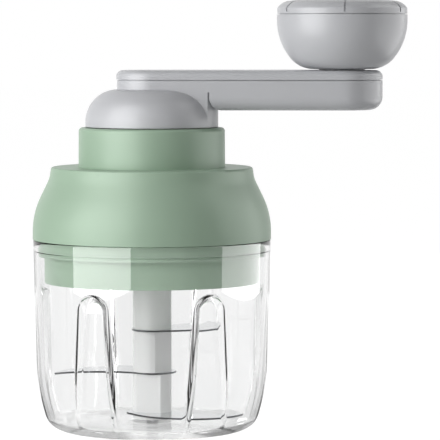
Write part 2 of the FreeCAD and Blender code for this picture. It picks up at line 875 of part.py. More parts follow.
def outer_gear(teeth, phase):
    module = val(GEAR_MODULE)
    pitch = module * teeth / 2
    face = gear_face(
        teeth,
        module,
        pitch + val("gear_addendum") * module,
        pitch - val("gear_dedendum") * module,
        val("gear_backlash") / 2,
        phase,
    )
    return face.extrude(FreeCAD.Vector(0, 0, val("gear_face")))


def shape_node(label, shape, x=0, y=0, z=0):
    node = doc.addObject("Part::Feature", label)
    node.Shape = shape
    node.Placement = FreeCAD.Placement(FreeCAD.Vector(x, y, z), FreeCAD.Rotation())
    return node


def cylinder(radius, low, high):
    return Part.makeCylinder(radius, high - low, FreeCAD.Vector(0, 0, low))


def make_ring_gear():
    teeth = round(val(RING_TEETH))
    module = val(GEAR_MODULE)
    pitch = module * teeth / 2
    # the hole's own teeth are the ring's gaps, so they are widened and stand half a pitch on
    hole = gear_face(
        teeth,
        module,
        pitch + val("gear_dedendum") * module,
        pitch - val("ring_addendum") * module,
        -val("gear_backlash") / 2,
        180 / teeth,
    )
    height = val(f"{RING_TOP} - {RING_Z}")
    blank = cylinder(val(RING_R), 0, height)
    tunnel = hole.extrude(FreeCAD.Vector(0, 0, height))
    return shape_node("ring_gear", blank.cut(tunnel), z=val(RING_Z))


def make_planet_gears():
    # each planet is turned so that it meshes with the sun and the ring at once
    count = round(val("planet_count"))
    sun, planet = round(val("sun_teeth")), round(val("planet_teeth"))
    bore = val("planet_pin_r + run_gap")
    nodes = []
    for number in range(count):
        place = 360 * number / count
        phase = place + 180 - (360 / planet) * (0.5 - place * sun / 360)
        gear = outer_gear(planet, phase).cut(cylinder(bore, 0, val("gear_face")))
        nodes.append(
            shape_node(
                f"planet_gear_{number + 1}",
                gear,
                x=val(PITCH_R) * math.cos(math.radians(place)),
                y=val(PITCH_R) * math.sin(math.radians(place)),
                z=val(GEAR_Z),
            )
        )
    return nodes


def hex_prism(across, low, high):
    corners = []
    for number in range(7):
        angle = math.radians(60 * number)
        reach = across / 2 / math.cos(math.radians(30))
        corners.append(FreeCAD.Vector(reach * math.cos(angle), reach * math.sin(angle), low))
    face = Part.Face(Part.makePolygon(corners))
    return face.extrude(FreeCAD.Vector(0, 0, high - low))


def make_sun_spindle():
    # sun gear, thrust collar, journal and hexagonal driver on one spindle
    bush_top = val(f"{PLATE_TOP} + spindle_boss_up + spindle_flange_h + 2 * run_gap")
    collar = cylinder(val("spindle_bush_r"), bush_top, val(GEAR_Z))
    journal = cylinder(val("journal_r"), val(SPINDLE_Z), bush_top)
    driver = hex_prism(val("drive_hex"), val(f"{SPINDLE_Z} - drive_len"), val(SPINDLE_Z))
    gear = outer_gear(round(val("sun_teeth")), 0).translated(FreeCAD.Vector(0, 0, val(GEAR_Z)))
    return shape_node("sun_spindle", gear.fuse([collar, journal, driver]).removeSplitter())


def make_planet_pins():
    body = new_body("planet_pins")
    body.AllowCompound = True
    head_z = f"({GEAR_Z} - loose_gap)"
    shank = pad(
        circle(new_sketch(body, "XY_Plane", head_z), PITCH_R, "0", "planet_pin_r"),
        body,
        f"{CARRIER_TOP} - {head_z}",
    )
    head = pad(
        circle(new_sketch(body, "XY_Plane", head_z), PITCH_R, "0", "planet_pin_head_r"),
        body,
        "planet_pin_head_h",
        down=True,
    )
    pattern = polar([shank], body, "planet_count")
    pattern.Originals = [shank, head]
    doc.recompute()
    return body


def make_spindle_bush():
    seat = f"({PLATE_TOP} + spindle_boss_up)"
    return turned(
        "spindle_bush",
        [
            ("journal_r + run_gap", SPINDLE_Z),
            ("spindle_bush_r", SPINDLE_Z),
            ("spindle_bush_r", seat),
            ("spindle_flange_r", seat),
            ("spindle_flange_r", f"{seat} + spindle_flange_h"),
            ("journal_r + run_gap", f"{seat} + spindle_flange_h"),
        ],
    )


def make_planet_carrier():
    hole = "(crank_screw_r + loose_gap / 2)"
    well = "(crank_screw_head_r + loose_gap)"
    rim_r = f"({PITCH_R} + carrier_rim)"
    flange_low = f"({SHOULDER_Z} - carrier_flange_h)"
    body = turned(
        "planet_carrier",
        [
            (well, CARRIER_Z),
            (rim_r, CARRIER_Z),
            (rim_r, CARRIER_TOP),
            ("carrier_neck_r", CARRIER_TOP),
            ("carrier_neck_r", flange_low),
            (CARRIER_FLANGE_R, flange_low),
            (CARRIER_FLANGE_R, SHOULDER_Z),
            (hole, SHOULDER_Z),
            (hole, SCREW_SEAT),
            (well, SCREW_SEAT),
        ],
    )
    sketch = hexagon(new_sketch(body, "XY_Plane", SHOULDER_Z), "(spigot_hex - 2 * run_gap)")
    circle(sketch, "0", "0", hole)
    pad(sketch, body, f"{HEX_TOP} - {SHOULDER_Z}")
    holes = pocket(
        circle(
            new_sketch(body, "XY_Plane", CARRIER_Z), PITCH_R, "0", "planet_pin_r + fit_gap"
        ),
        body,
        "carrier_h",
        along=True,
    )
    polar([holes], body, "planet_count")
    return body


def make_crank_washer():
    low = f"({SHOULDER_Z} + run_gap)"
    high = f"({low} + washer_h)"
    inner = "(spigot_hex / 2 / cos(30 deg) + loose_gap)"
    return turned(
        "crank_washer",
        [
            (inner, low),
            (CARRIER_FLANGE_R, low),
            (CARRIER_FLANGE_R, high),
            (inner, high),
        ],
    )


def make_crank_screw():
    low = f"({SCREW_SEAT} - crank_screw_head_h)"
    tip = f"({HEX_TOP} + crank_screw_grip)"
    return turned(
        "crank_screw",
        [
            ("0", low),
            ("crank_screw_head_r - screw_chamfer", low),
            ("crank_screw_head_r", f"{low} + screw_chamfer"),
            ("crank_screw_head_r", SCREW_SEAT),
            ("crank_screw_r", SCREW_SEAT),
            ("crank_screw_r", f"{tip} - screw_chamfer"),
            ("crank_screw_r - screw_chamfer", tip),
            ("0", tip),
        ],
    )


# Crank: domed hub with its spigot, and the hollow arm that rises out of it.
def make_crank_body():
    body = new_body("crank_body")
    # deep part of the arm, cut square towards the hub, with a rounded underside
    sketch = slot(new_sketch(body, "XY_Plane", ARM_Z))
    pad(sketch, body, f"{BODY_TOP} - {ARM_Z}")
    wide = "(2 * arm_knob_r)"
    pocket(
        outline(
            new_sketch(body, "XY_Plane", ARM_Z),
            [
                (f"-{wide}", f"-{wide}"),
                ("arm_root_x", f"-{wide}"),
                ("arm_root_x", wide),
                (f"-{wide}", wide),
            ],
        ),
        body,
        f"{BODY_TOP} - {ARM_Z}",
        along=True,
    )
    arm_low = val(ARM_Z)
    fillet(body, "arm_fillet", lambda edge: level(edge, arm_low))
    # thin part of the arm over the hub
    neck_z = f"({HUB_TOP} - arm_neck / 4)"
    neck = slot(new_sketch(body, "XY_Plane", neck_z), "arm_root_in")
    pad(neck, body, f"{BODY_TOP} - {neck_z}")
    # upright root between the hub and the deep part, whose sides run on from the neck's
    side = "(arm_hub_r - arm_root_in)"
    sine = "((arm_knob_r - arm_hub_r) / arm_reach)"
    cosine = f"sqrt(1 - {sine} * {sine})"
    run = f"sqrt(hub_r * hub_r - {side} * {side})"
    start = (f"-{sine} * {side}", f"{cosine} * {side}")
    end = (f"{cosine} * {run} - {sine} * {side}", f"({cosine} * {side} + {sine} * {run})")
    pad(
        outline(
            new_sketch(body, "XY_Plane", HUB_Z),
            [
                (start[0], f"-{start[1]}"),
                (end[0], f"-{end[1]}", "hub_r", "left"),
                end,
                start,
            ],
        ),
        body,
        f"{BODY_TOP} - {HUB_Z}",
    )
    # dome and spigot
    boss_root = f"({HUB_Z} - spigot_bore_end)"
    tap = "(crank_screw_r + fit_gap)"
    tap_end = f"({HEX_TOP} + crank_screw_grip + screw_chamfer)"
    revolve(
        outline(
            new_sketch(body),
            [
                ("0", HUB_TOP),
                (f"hub_r - {DOME_R}", HUB_TOP, DOME_R, "right"),
                ("hub_r", f"{HUB_TOP} - {DOME_R}"),
                ("hub_r", HUB_Z),
                ("spigot_r", HUB_Z),
                ("spigot_r", SPIGOT_Z),
                ("spigot_bore_r", SPIGOT_Z),
                ("spigot_bore_r", boss_root),
                ("crank_boss_r", boss_root),
                ("crank_boss_r", HEX_TOP),
                (tap, HEX_TOP),
                (tap, tap_end),
                ("0", tap_end),
            ],
        ),
        body,
    )
    pocket(
        hexagon(new_sketch(body, "XY_Plane", SPIGOT_Z), "spigot_hex"),
        body,
        "hex_len",
        along=True,
    )
    # trough under the cover, with a boss that holds the knob's post
    trough_x = "(hub_r + arm_wall)"
    trough = slot(new_sketch(body, "XY_Plane", BODY_TOP), "arm_wall")
    pocket(trough, body, f"{BODY_TOP} - {HUB_TOP}")
    half = "(arm_hub_r - arm_wall)"
    pocket(
        outline(
            new_sketch(body, "XY_Plane", BODY_TOP),
            [
                (trough_x, f"-{half}"),
                ("arm_reach", f"-{half}", half, "left"),
                (f"arm_reach + {half}", "0", half, "left"),
                ("arm_reach", half),
                (trough_x, half),
            ],
        ),
        body,
        f"{BODY_TOP} - {ARM_FLOOR}",
    )
    post = new_sketch(body, "XY_Plane", ARM_FLOOR)
    circle(post, "arm_reach", "0", "post_foot_r + post_socket_wall")
    circle(post, "arm_reach", "0", "post_foot_r + fit_gap")
    pad(post, body, "post_foot_h")
    return body


def make_arm_cover():
    body = new_body("arm_cover")
    lip_z = f"({BODY_TOP} + cover_groove_h)"
    pad(slot(new_sketch(body, "XY_Plane", lip_z)), body, f"{COVER_TOP} - {lip_z}")
    top = val(COVER_TOP)
    fillet(body, "cover_fillet", lambda edge: level(edge, top))
    pad(slot(new_sketch(body, "XY_Plane", BODY_TOP), "cover_groove_d"), body, "cover_groove_h")
    rim = slot(new_sketch(body, "XY_Plane", BODY_TOP), "(arm_wall + fit_gap)")
    pad(rim, body, "cover_rim_h", down=True)
    pocket(
        circle(new_sketch(body, "XY_Plane", COVER_TOP), "arm_reach", "0", "post_pin_r + fit_gap"),
        body,
        f"{COVER_TOP} - {BODY_TOP} + cover_rim_h",
    )
    return body


# Knob: a turned bowl with a bearing sleeve, on a shouldered post, under a grooved cap.
def at_knob(body):
    tie(body, "Placement.Base.x", "arm_reach")
    return body


def make_knob_post():
    foot_top = f"({ARM_FLOOR} + post_foot_h)"
    tap = "(post_screw_r + fit_gap)"
    tap_end = f"({POST_TOP} - post_screw_len - screw_chamfer)"
    return at_knob(
        turned(
            "knob_post",
            [
                ("0", ARM_FLOOR),
                ("post_foot_r", ARM_FLOOR),
                ("post_foot_r", foot_top),
                ("post_pin_r", foot_top),
                ("post_pin_r", POST_TOP),
                (tap, POST_TOP),
                (tap, tap_end),
                ("0", tap_end),
            ],
        )
    )


def make_knob_body():
    neck_z = f"({COVER_TOP} + knob_play)"
    bore = "(knob_bush_r + fit_gap)"
    belly_z = f"({KNOB_Z} + knob_belly_h)"
    inner_r = "(knob_r - knob_wall)"
    return at_knob(
        turned(
            "knob_body",
            [
                (bore, SLEEVE_TOP),
                ("knob_neck_r", SLEEVE_TOP),
                ("knob_neck_r", f"{KNOB_Z} + knob_floor"),
                ("knob_foot_r", f"{KNOB_Z} + knob_floor", "knob_inner_bow", "left"),
                (inner_r, belly_z),
                (inner_r, KNOB_TOP),
                ("knob_r", KNOB_TOP),
                ("knob_r", belly_z, "knob_corner_r", "belly"),
                ("knob_foot_r", KNOB_Z),
                ("knob_neck_r", KNOB_Z),
                ("knob_neck_r", neck_z),
                (bore, neck_z),
            ],
        )
    )


def make_knob_bush():
    neck_z = f"({COVER_TOP} + knob_play)"
    flange_top = f"({SLEEVE_TOP} + knob_bush_flange_h)"
    return at_knob(
        turned(
            "knob_bush",
            [
                ("post_pin_r + run_gap", neck_z),
                ("knob_bush_r", neck_z),
                ("knob_bush_r", SLEEVE_TOP),
                ("knob_neck_r", SLEEVE_TOP),
                ("knob_neck_r", flange_top),
                ("post_pin_r + run_gap", flange_top),
            ],
        )
    )


def make_knob_screw():
    tip = f"({POST_TOP} - post_screw_len)"
    head_top = f"({POST_TOP} + post_screw_head_h)"
    return at_knob(
        turned(
            "knob_screw",
            [
                ("0", tip),
                ("post_screw_r", tip),
                ("post_screw_r", POST_TOP),
                ("knob_bush_r", POST_TOP),
                ("knob_bush_r", f"{head_top} - screw_chamfer"),
                ("knob_bush_r - screw_chamfer", head_top),
                ("0", head_top),
            ],
        )
    )


def make_knob_cap():
    crown_r = f"({CAP_R} - cap_edge_in)"
    crown_bow = f"(({crown_r} * {crown_r} + cap_crown * cap_crown) / 2 / cap_crown)"
    plug_bore = f"({CAP_PLUG_R} - cap_plug_wall)"
    plug_end = f"({CAP_Z} - cap_plug_h)"
    body = turned(
        "knob_cap",
        [
            (CAP_PLUG_R, plug_end),
            (CAP_PLUG_R, KNOB_TOP),
            (f"{CAP_R} - cap_rim_w", KNOB_TOP),
            (f"{CAP_R} - cap_rim_w", CAP_Z),
            (CAP_R, CAP_Z),
            (CAP_R, CAP_SHOULDER, "cap_edge_r", "left"),
            (crown_r, CROWN_Z, crown_bow, "left"),
            ("0", f"{CROWN_Z} + cap_crown"),
            ("0", f"{CROWN_Z} + cap_crown - cap_plate"),
            (plug_bore, f"{CROWN_Z} - cap_plate"),
            (plug_bore, plug_end),
        ],
    )
    # grooves that run from the flat of the crown out over its edge
    depth = "cap_groove_d"
    share = f"(cap_groove_start * cap_groove_start / {crown_r} / {crown_r})"
    floor_z = f"({CROWN_Z} + cap_crown * (1 - {share}) - {depth})"
    groove = pocket(
        outline(
            new_sketch(body, "YZ_Plane", "-cap_groove_w / 2"),
            [
                (f"{CAP_R} + 1", f"{CAP_Z} + cap_groove_foot"),
                (f"{CAP_R} + 1", f"{CROWN_Z} + cap_crown + 1"),
                ("cap_groove_start", f"{CROWN_Z} + cap_crown + 1"),
                ("cap_groove_start", floor_z),
                (f"{crown_r} - {depth}", f"{CROWN_Z} - {depth}", "cap_edge_r", "right"),
                (f"{CAP_R} - {depth}", f"{CAP_SHOULDER} - {depth}"),
                (f"{CAP_R} - {depth}", f"{CAP_Z} + cap_groove_foot"),
            ],
        ),
        body,
        "cap_groove_w",
        along=True,
    )
    polar([groove], body, "cap_grooves")
    return at_knob(body)


# Blades: a stem carries three curved blades and the spacers between them.
def double_flat(sketch, radius, flat, turn=0):
    # a round bar with two opposite flats, whose normals lie at turn and turn + 180 degrees
    half = f"sqrt({radius} * {radius} - {flat} * {flat})"
    corners = []
    for x, y, curved in ((1, -1, False), (1, 1, True), (-1, 1, False), (-1, -1, True)):
        out, along = f"({x} * {flat})", f"({y} * {half})"
        place = (
            f"{out} * cos({turn} deg) - {along} * sin({turn} deg)",
            f"{out} * sin({turn} deg) + {along} * cos({turn} deg)",
        )
        corners.append(place + (radius, "left") if curved else place)
    return outline(sketch, corners)


def make_blade_shaft():
    body = new_body("blade_shaft")
    pad(
        circle(new_sketch(body, "XY_Plane", SHAFT_Z), "0", "0", "shaft_r"),
        body,
        f"{SHAFT_TOP} - {SHAFT_Z}",
    )
    pad(
        double_flat(new_sketch(body, "XY_Plane", SHAFT_Z), "stem_r", "stem_flat"),
        body,
        f"{SHAFT_Z} - {FOOT_Z} - foot_floor",
        down=True,
    )
    pocket(
        hexagon(new_sketch(body, "XY_Plane", SHAFT_TOP), "(drive_hex + drive_play)"),
        body,
        "drive_len",
    )
    pocket(
        circle(new_sketch(body, "XY_Plane", FOOT_Z), "0", "0", "pin_r + run_gap"),
        body,
        f"pin_seat_z + pin_height - {FOOT_Z} + 1",
        along=True,
    )
    return body


def make_spacer(label, low, high, turn):
    body = new_body(label)
    sketch = double_flat(new_sketch(body, "XY_Plane", low), "shaft_r", "spacer_flat", turn)
    double_flat(sketch, "(stem_r + fit_gap)", "(stem_flat + fit_gap)")
    pad(sketch, body, f"{high} - {low}")
    return body


def make_blade_foot():
    body = new_body("blade_foot")
    sketch = circle(new_sketch(body, "XY_Plane", FOOT_Z), "0", "0", "shaft_r")
    circle(sketch, "0", "0", "pin_r + run_gap")
    pad(sketch, body, "foot_h")
    pocket(
        double_flat(
            new_sketch(body, "XY_Plane", f"{FOOT_Z} + foot_floor"),
            "(stem_r + fit_gap)",
            "(stem_flat + fit_gap)",
        ),
        body,
        "foot_h",
        along=True,
    )
    return body


def make_blade(label, low, reach_text, turn):
    # A curved blade with one long arm. Its outer edge bows forward from the hub to the tip, and
    # its inner edge bows the same way, so the arm is a crescent.
    reach, hub = val(reach_text), val("blade_hub_r")
    point = FreeCAD.Vector
    arm = {name: point(x * reach, y * reach, 0) for name, (x, y) in BLADE_ARM.items()}
    root = {name: point(x * hub, y * hub, 0) for name, (x, y) in BLADE_ROOT.items()}
    tip, front, hollow = arm["tip"], arm["front"], arm["hollow"]
    heel, far, back = root["heel"], root["far"], root["back"]
    top, shoulder = root["top"], root["shoulder"]
    outer = Part.Arc(heel, front, tip).toShape()
    inner = Part.Arc(tip, hollow, shoulder).toShape()
    rear = Part.Arc(shoulder, top, back).toShape()
    side = Part.Arc(back, far, heel).toShape()
    plan = Part.Face(Part.Wire([outer, inner, rear, side]))
    thickness = val("blade_h")
    plate = plan.extrude(point(0, 0, thickness))
    plate = plate.rotated(point(0, 0, 0), point(0, 0, 1), turn)
    stem = val("stem_r + fit_gap")
    flats = val("stem_flat + fit_gap")
    hole = cylinder(stem, 0, thickness)
    block = Part.makeBox(2 * flats, 2 * stem, thickness, point(-flats, -stem, 0))
    return shape_node(label, plate.cut(hole.common(block)), z=val(low))


def make_parts():
    parts = [
        make_cup(),
        make_cup_pin(),
        make_lid_shell(),
        make_collar(),
        make_top_bush(),
        make_lid_base(),
        make_seal_ring(),
        make_base_screws(),
        make_spindle_bush(),
        make_ring_gear(),
        make_planet_carrier(),
        make_planet_pins(),
        make_sun_spindle(),
        make_crank_washer(),
        make_crank_screw(),
        make_crank_body(),
        make_arm_cover(),
        make_knob_post(),
        make_knob_body(),
        make_knob_bush(),
        make_knob_screw(),
        make_knob_cap(),
        make_blade_shaft(),
        make_blade_foot(),
        make_spacer("blade_spacer_lower", SPACER_LOW_Z, BLADE_MID_Z, SPACER_TURNS["lower"]),
        make_spacer("blade_spacer_upper", SPACER_UP_Z, BLADE_UP_Z, SPACER_TURNS["upper"]),
        make_blade("blade_lower", BLADE_LOW_Z, BLADE_LOW_REACH, BLADE_TURNS["lower"]),
        make_blade("blade_middle", BLADE_MID_Z, BLADE_REACH, BLADE_TURNS["middle"]),
        make_blade("blade_upper", BLADE_UP_Z, BLADE_REACH, BLADE_TURNS["upper"]),
    ]
    return parts + make_planet_gears()


nodes = make_parts()
doc.recompute()
for item in doc.Objects:
    if any(state in ("Invalid", "Error") for state in item.State):
        raise RuntimeError(f"{item.Label} did not build: {item.State}")
for node in nodes:
    if node.Shape.isNull() or not node.Shape.isValid():
        raise RuntimeError(f"{node.Label} has no valid shape")
os.makedirs("parts", exist_ok=True)
for node in nodes:
    node.Shape.exportStep(f"parts/{node.Label}.step")
    print(node.Label, len(node.Shape.Solids), round(node.Shape.Volume, 1))
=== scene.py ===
import math

import bmesh
import bpy
from mathutils import Matrix, Vector


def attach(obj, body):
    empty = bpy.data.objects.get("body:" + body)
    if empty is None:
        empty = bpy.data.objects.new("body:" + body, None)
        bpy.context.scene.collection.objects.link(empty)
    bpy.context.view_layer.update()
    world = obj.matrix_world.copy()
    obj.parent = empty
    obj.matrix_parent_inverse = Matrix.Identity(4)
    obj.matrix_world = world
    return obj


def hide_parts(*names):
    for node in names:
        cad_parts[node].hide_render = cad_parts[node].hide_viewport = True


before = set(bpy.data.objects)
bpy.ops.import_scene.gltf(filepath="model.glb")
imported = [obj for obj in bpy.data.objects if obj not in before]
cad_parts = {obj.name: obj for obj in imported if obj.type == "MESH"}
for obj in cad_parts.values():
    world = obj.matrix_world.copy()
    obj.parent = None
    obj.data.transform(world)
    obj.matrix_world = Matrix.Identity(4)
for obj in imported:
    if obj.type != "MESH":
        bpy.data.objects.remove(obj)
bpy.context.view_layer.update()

scene = bpy.context.scene
scene.view_settings.view_transform = "Standard"
print("chopper: frame loaded,", len(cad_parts), "nodes")


# Shader helpers.
class Wire:
    # one output of a node; arithmetic on it adds Math nodes
    def __init__(self, tree, made, out=0):
        self.tree = tree
        self.made = made
        self.out = out

    def __getitem__(self, out):
        return Wire(self.tree, self.made, out)

    def __add__(self, other):
        return self.tree.maths("ADD", self, other)

    def __radd__(self, other):
        return self.tree.maths("ADD", other, self)

    def __sub__(self, other):
        return self.tree.maths("SUBTRACT", self, other)

    def __rsub__(self, other):
        return self.tree.maths("SUBTRACT", other, self)

    def __mul__(self, other):
        return self.tree.maths("MULTIPLY", self, other)

    def __rmul__(self, other):
        return self.tree.maths("MULTIPLY", other, self)

    def __truediv__(self, other):
        return self.tree.maths("DIVIDE", self, other)

    def __pow__(self, other):
        return self.tree.maths("POWER", self, other)


class Tree:
    # the nodes of one material or world
    def __init__(self, owner):
        owner.use_nodes = True
        self.nodes = owner.node_tree.nodes
        self.links = owner.node_tree.links
        self.nodes.clear()

    def add(self, kind, settings=None, sockets=None):
        made = self.nodes.new("ShaderNode" + kind)
        for name, value in (settings or {}).items():
            if name == "stops":
                while len(made.color_ramp.elements) < len(value):
                    made.color_ramp.elements.new(0.5)
                for element, (place, colour) in zip(made.color_ramp.elements, value):
                    element.position = place
                    element.color = colour
            else:
                setattr(made, name, value)
        for name, value in (sockets or {}).items():
            if isinstance(value, Wire):
                self.links.new(value.made.outputs[value.out], made.inputs[name])
            else:
                made.inputs[name].default_value = value
        return Wire(self, made)

    def maths(self, operation, *values):
        return self.add("Math", {"operation": operation}, dict(enumerate(values)))

    def clamp(self, wire):
        return self.add("Clamp", {}, {"Value": wire})

    def mix(self, factor, first, second):
        # the colour sockets of a Mix node are numbers 6 and 7, and its colour output is number 2
        settings = {"data_type": "RGBA"}
        return self.add("Mix", settings, {"Factor": factor, 6: first, 7: second})[2]

    def bump(self, finish, height):
        sockets = {"Strength": finish["bump"], "Distance": finish["bumpDepth"], "Height": height}
        return self.add("Bump", {}, sockets)


def shade(text):
    # a colour written as on screen, as the numbers that a socket takes
    parts = [int(text[place : place + 2], 16) / 255 for place in (0, 2, 4)]
    return [c / 12.92 if c < 0.04045 else ((c + 0.055) / 1.055) ** 2.4 for c in parts] + [1]


# Finishes.
def mouldedPlastic(name, colour, finish):
    # moulded plastic: a very fine spark-eroded grain, a faint flow mottling and an uneven gloss
    material = bpy.data.materials.new(name)
    tree = Tree(material)
    place = tree.add("TexCoord")["Object"]
    mottle = tree.add("TexNoise", {}, {"Vector": place, "Scale": finish["mottle"], "Detail": 3.0})
    grain = tree.add("TexNoise", {}, {"Vector": place, "Scale": finish["grain"], "Detail": 2.0})
    rub = tree.add("TexNoise", {}, {"Vector": place, "Scale": finish["rub"], "Detail": 4.0})
    light = [min(c * finish["light"], 1) for c in colour[:3]] + [1]
    dark = [c * finish["dark"] for c in colour[:3]] + [1]
    flow = tree.clamp((mottle - finish["flowLow"]) * finish["flowGain"])
    tone = tree.mix(flow, dark, light)
    gloss = (rub - 0.5) * finish["uneven"] + finish["rough"]
    bump = tree.bump(finish, grain + mottle * finish["flowBump"])
    surface = tree.add(
        "BsdfPrincipled",
        {},
        {
            "Base Color": tone,
            "Roughness": gloss,
            "Specular IOR Level": finish["gloss"],
            "IOR": finish["ior"],
            "Normal": bump,
        },
    )
    tree.add("OutputMaterial", {}, {"Surface": surface})
    return material


def clearPlastic(name, finish):
    # clear plastic: lamps shine through it, painted shade darkens its edges where a thick wall
    # looks dark, and light that has turned too often inside, or at all in the foot, goes straight
    # on instead of ending black
    material = bpy.data.materials.new(name)
    tree = Tree(material)
    place = tree.add("TexCoord")["Object"]
    facing = tree.add("LayerWeight", {}, {"Blend": 0.5})["Facing"]
    # painted shade: the wall's colour darkens towards the edges seen edge-on
    edge = tree.clamp(facing**finish["edgePower"])
    paintedEdgeShade = tree.mix(edge, finish["clear"], finish["edge"])
    smear = tree.add("TexNoise", {}, {"Vector": place, "Scale": finish["smear"], "Detail": 3.0})
    wave = tree.add("TexNoise", {}, {"Vector": place, "Scale": finish["wave"], "Detail": 1.0})
    surface = tree.add(
        "BsdfPrincipled",
        {},
        {
            "Base Color": paintedEdgeShade,
            "Roughness": tree.clamp((smear - 0.5) * finish["uneven"] + finish["rough"]),
            "IOR": finish["ior"],
            "Specular IOR Level": finish["gloss"],
            "Transmission Weight": 1.0,
            "Normal": tree.bump(finish, wave),
        },
    )
    through = tree.add("BsdfTransparent", {}, {"Color": finish["shadow"]})
    rays = tree.add("LightPath")
    height = tree.add("SeparateXYZ", {}, {0: place})["Z"]
    foot = tree.maths("LESS_THAN", height, finish["footZ"])
    trapped = tree.maths("GREATER_THAN", rays["Glossy Depth"], finish["footTurns"]) * foot
    spent = tree.maths("GREATER_THAN", rays["Ray Depth"], finish["depth"]) + trapped
    passes = tree.clamp(rays["Is Shadow Ray"] + spent + foot * finish["footClear"])
    both = tree.add("MixShader", {}, {0: passes, 1: surface, 2: through})
    tree.add("OutputMaterial", {}, {"Surface": both})
    return material


def groundSteel(name, finish):
    # stainless steel with fine grinding marks along one direction, and a painted shade on its
    # upright sides
    material = bpy.data.materials.new(name)
    tree = Tree(material)
    place = tree.add("TexCoord")["Object"]
    along = tree.add("Mapping", {}, {"Vector": place, "Scale": finish["marks"]})
    marks = tree.add("TexNoise", {}, {"Vector": along, "Scale": finish["grain"], "Detail": 4.0})
    cloud = tree.add("TexNoise", {}, {"Vector": place, "Scale": finish["cloud"], "Detail": 2.0})
    # painted shade: where the surface stands upright, as on a blade's sides, the colour turns dark
    # grey
    flat = tree.add("SeparateXYZ", {}, {0: tree.add("TexCoord")["Normal"]})["Z"]
    level = tree.clamp(tree.maths("ABSOLUTE", flat) * 2 - finish["side"])
    tone = tree.mix(marks, shade(finish["dark"]), shade(finish["light"]))
    tone = tree.mix(level, shade(finish["edge"]), tone)
    gloss = (cloud - 0.5) * finish["uneven"] + finish["rough"] + (marks - 0.5) * finish["streaks"]
    surface = tree.add(
        "BsdfPrincipled",
        {},
        {
            "Base Color": tone,
            "Metallic": 1.0,
            "Roughness": gloss,
            "Normal": tree.bump(finish, marks),
        },
    )
    tree.add("OutputMaterial", {}, {"Surface": surface})
    return material


satin = {
    "grain": 2600.0,  # the sizes of the noises, as their scale per metre
    "mottle": 60.0,
    "rub": 190.0,
    "flowLow": 0.3,
    "flowGain": 2.5,
    "flowBump": 0.3,
    "light": 1.01,
    "dark": 0.98,
    "rough": 0.38,
    "uneven": 0.04,
    "gloss": 0.26,
    "ior": 1.5,
    "bump": 0.1,
    "bumpDepth": 0.0001,
}
greyFinish = dict(satin, rough=0.34, bump=0.08, gloss=0.28)
whiteFinish = dict(satin, rough=0.25, bump=0.04, uneven=0.06)
gearFinish = dict(satin, rough=0.45, bump=0.05, dark=0.94)
rubberFinish = dict(satin, rough=0.55, bump=0.08, dark=0.93)
steelFinish = {
    "marks": (1.0, 12.0, 12.0),
    "grain": 400.0,
    "cloud": 90.0,
    "dark": "C4C6C8",
    "light": "ECEDEE",
    # the painted shade on the upright sides, and how far from upright it reaches
    "edge": "6E7073",
    "side": 0.5,
    "rough": 0.1,
    "uneven": 0.06,
    "streaks": 0.05,
    "bump": 0.06,
    "bumpDepth": 0.00005,
}
finishes = {
    "green_plastic": mouldedPlastic("celadonPlastic", shade("98AF9A"), satin),
    "grey_plastic": mouldedPlastic("greySatinPlastic", shade("BCBDC0"), greyFinish),
    "white_plastic": mouldedPlastic("shaftWhitePlastic", shade("E9E9E9"), whiteFinish),
    "gear_plastic": mouldedPlastic("naturalNylon", shade("E4DFD2"), gearFinish),
    "seal_rubber": mouldedPlastic("sealSilicone", shade("A4BAA6"), rubberFinish),
    "steel": groundSteel("groundStainless", steelFinish),
}
clearFinish = {
    "ior": 1.56,
    "gloss": 0.85,
    "clear": (0.988, 0.99, 0.99, 1),
    # the painted shade at the wall's edges seen edge-on, and how sharply it gathers there
    "edge": (0.7, 0.705, 0.71, 1),
    "edgePower": 4.0,
    "smear": 35.0,
    "wave": 25.0,
    "rough": 0.01,
    "uneven": 0.03,
    "bump": 0.03,
    "bumpDepth": 0.001,
    "shadow": (0.99, 0.99, 0.99, 1),
    "depth": 6.5,  # the bounces after which light goes straight on
    "footZ": 0.0036,
    "footTurns": 0.5,
    "footClear": 0.2,  # how much of the light passes the foot unbent
}
cupPlastic = clearPlastic("clearCupPlastic", clearFinish)
# painted light: a paler copy of the lid's green for the plug seen through the cup
plugLitPlastic = mouldedPlastic("paintedLightCeladonPlastic", shade("A1B9A3"), satin)

for name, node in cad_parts.items():
    for place in node.material_slots:
        if place.material.name in finishes:
            place.material = finishes[place.material.name]
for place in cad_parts["lid_base"].material_slots:
    place.material = plugLitPlastic  # painted light: a shade paler than the lid, to make up for the light the cup keeps from it
print("chopper: finishes on the nodes")


# Mesh helpers.
def drawLine(bm, pen, x, z, steps=1):
    # a straight run of the profile from the vertex pen, in equal steps; returns its end
    step = (Vector((x, 0, z)) - pen.co) / steps
    for _ in range(steps):
        pen = bmesh.ops.extrude_vert_indiv(bm, verts=[pen])["verts"][0]
        bmesh.ops.translate(bm, verts=[pen], vec=step)
    return pen


def drawArc(bm, pen, centre, degrees, steps):
    # an arc of the profile about centre, counter-clockwise when degrees are positive
    made = bmesh.ops.spin(
        bm,
        geom=[pen],
        cent=(centre[0], 0, centre[1]),
        axis=(0, 1, 0),
        angle=-math.radians(degrees),
        steps=steps,
    )
    return next(part for part in made["geom_last"] if isinstance(part, bmesh.types.BMVert))


def keep(bm, name, body, material, node):
    # turns the bmesh into a finished piece that rides on its body and stands for its CAD node
    mesh = bpy.data.meshes.new(name)
    bm.to_mesh(mesh)
    bm.free()
    mesh.materials.append(material)
    for face in mesh.polygons:
        face.use_smooth = True
    piece = bpy.data.objects.new(name, mesh)
    scene.collection.objects.link(piece)
    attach(piece, body)
    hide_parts(node)


